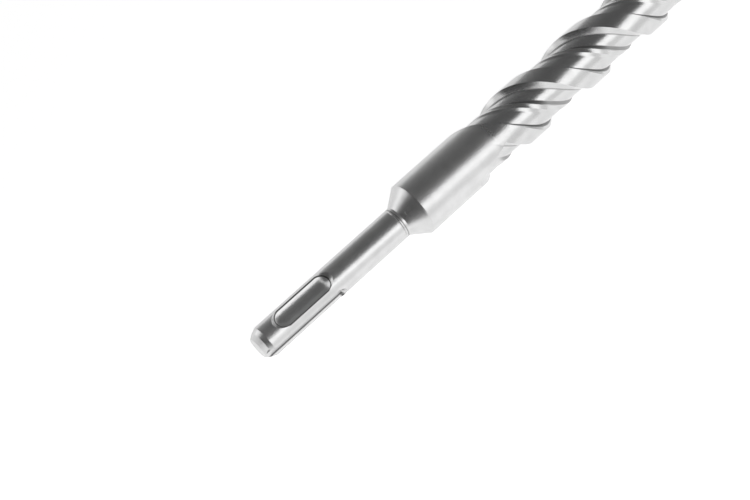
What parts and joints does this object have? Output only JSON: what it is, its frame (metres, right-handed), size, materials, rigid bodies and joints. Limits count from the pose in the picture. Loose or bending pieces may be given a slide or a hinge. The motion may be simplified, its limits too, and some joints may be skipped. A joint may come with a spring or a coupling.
{
  "type": "sds plus drill bit",
  "caption": "Masonry hammer drill bit with a slotted shank, plain collar, right-hand helical flutes and a brazed carbide cutting plate.",
  "frame": {"origin": "centre of the striking end face, on the bit's axis", "axes": "+X along the axis from the striking end to the point, +Z through the middle of one closed locking groove, +Y to the side"},
  "size_m": [0.2, 0.0202, 0.0182],
  "materials": {
    "steel": "satin blasted and polished steel",
    "carbide": "fine-ground sintered carbide"
  },
  "bodies": {
    "root": {"drill_body": "steel", "carbide_plate": "carbide"}
  },
  "joints": []
}
